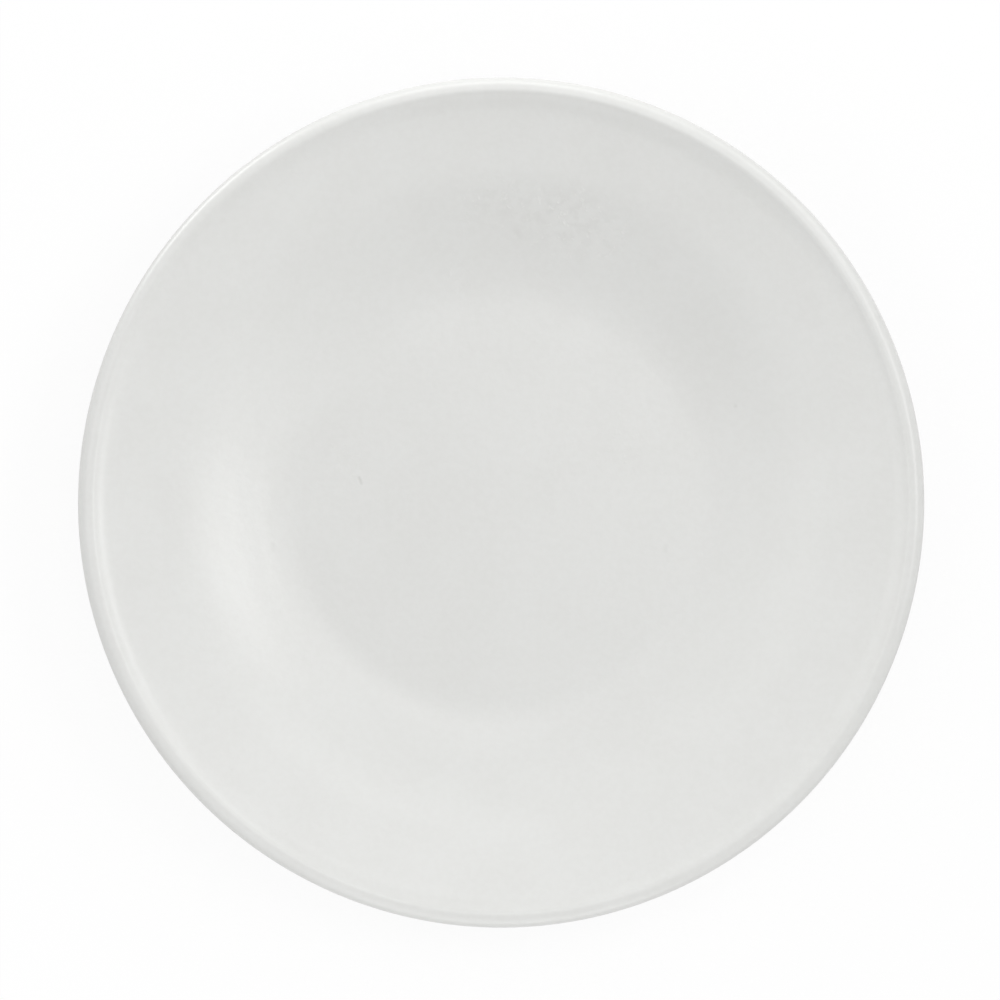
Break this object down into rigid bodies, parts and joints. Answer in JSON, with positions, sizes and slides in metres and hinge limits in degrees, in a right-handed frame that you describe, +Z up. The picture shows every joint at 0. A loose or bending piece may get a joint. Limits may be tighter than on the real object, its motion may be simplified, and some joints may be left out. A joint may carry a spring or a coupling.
{
  "type": "coupe dinner plate",
  "caption": "Round coupe dinner plate with a flat well, a wall that rises in a soft S, a rolled lip and a low foot ring, glazed in satin white.",
  "frame": {"origin": "centre of the foot ring, in the plane of its bearing face, which is the table", "axes": "+Z up along the plate's axis of revolution; +X towards the picture's right and +Y towards its top"},
  "size_m": [0.27, 0.27, 0.027],
  "materials": {
    "clay": "bare fired stoneware, warm grey and slightly rough",
    "glaze": "satin white glaze with a faint mottle and a few pinholes"
  },
  "bodies": {
    "root": {"clay_body": "clay", "glaze_coat": "glaze", "foot_well_glaze": "glaze"}
  },
  "joints": []
}
